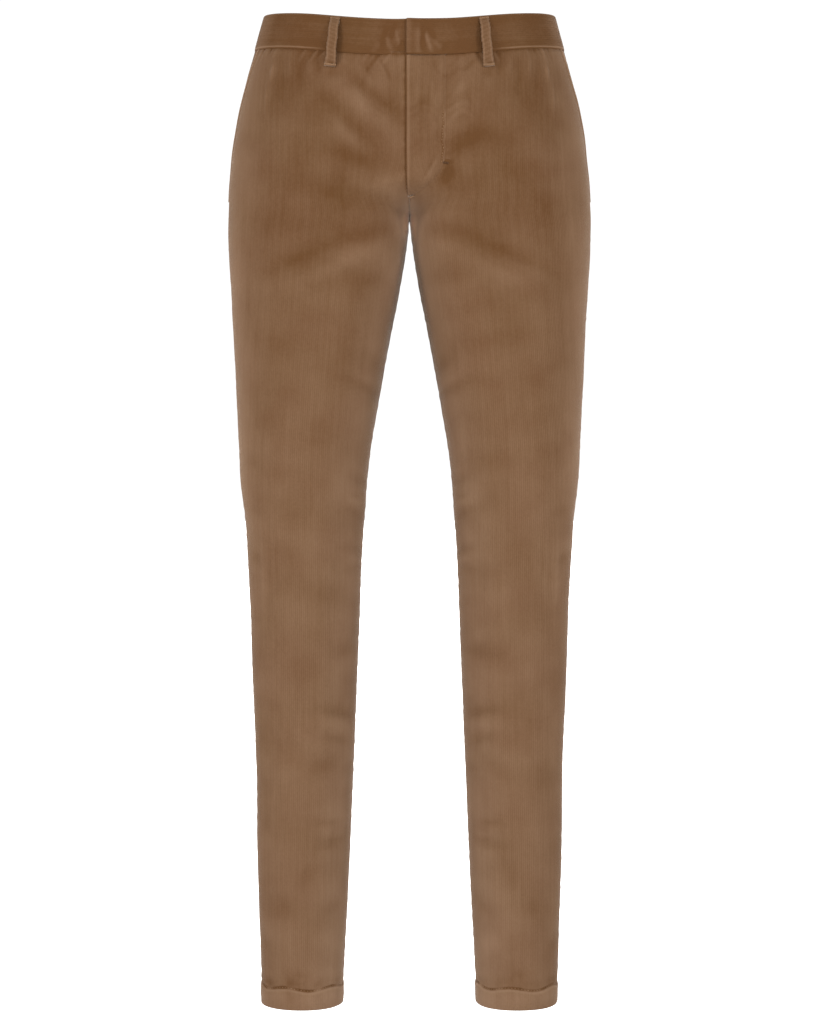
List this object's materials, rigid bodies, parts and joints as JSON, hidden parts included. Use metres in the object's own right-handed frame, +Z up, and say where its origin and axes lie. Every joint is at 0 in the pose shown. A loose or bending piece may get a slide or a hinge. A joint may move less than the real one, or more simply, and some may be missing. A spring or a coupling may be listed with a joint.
{
  "type": "pair of corduroy trousers",
  "caption": "Slim corduroy trousers worn on an unseen figure: fitted waistband with belt loops, lapped fly, slanted hip pockets and turned hems.",
  "frame": {"origin": "middle of the waist opening, level with the waistband's top edge at the side seams", "axes": "+Z up the body, +X to the wearer's left, the front faces -Y"},
  "size_m": [0.3798, 0.2412, 1.0456],
  "materials": {
    "corduroy": "fine-wale brown corduroy with a soft nap",
    "thread": "matt brown sewing thread"
  },
  "bodies": {
    "root": {"front_left": "corduroy", "front_right": "corduroy", "back_left": "corduroy", "back_right": "corduroy", "waistband_left": "corduroy", "waistband_right": "corduroy", "fly": "corduroy", "pocket_facing_left": "corduroy", "pocket_facing_right": "corduroy", "belt_loop_front_left": "corduroy", "belt_loop_front_right": "corduroy", "belt_loop_back_left": "corduroy", "belt_loop_back_right": "corduroy", "belt_loop_centre_back": "corduroy"}
  },
  "joints": []
}
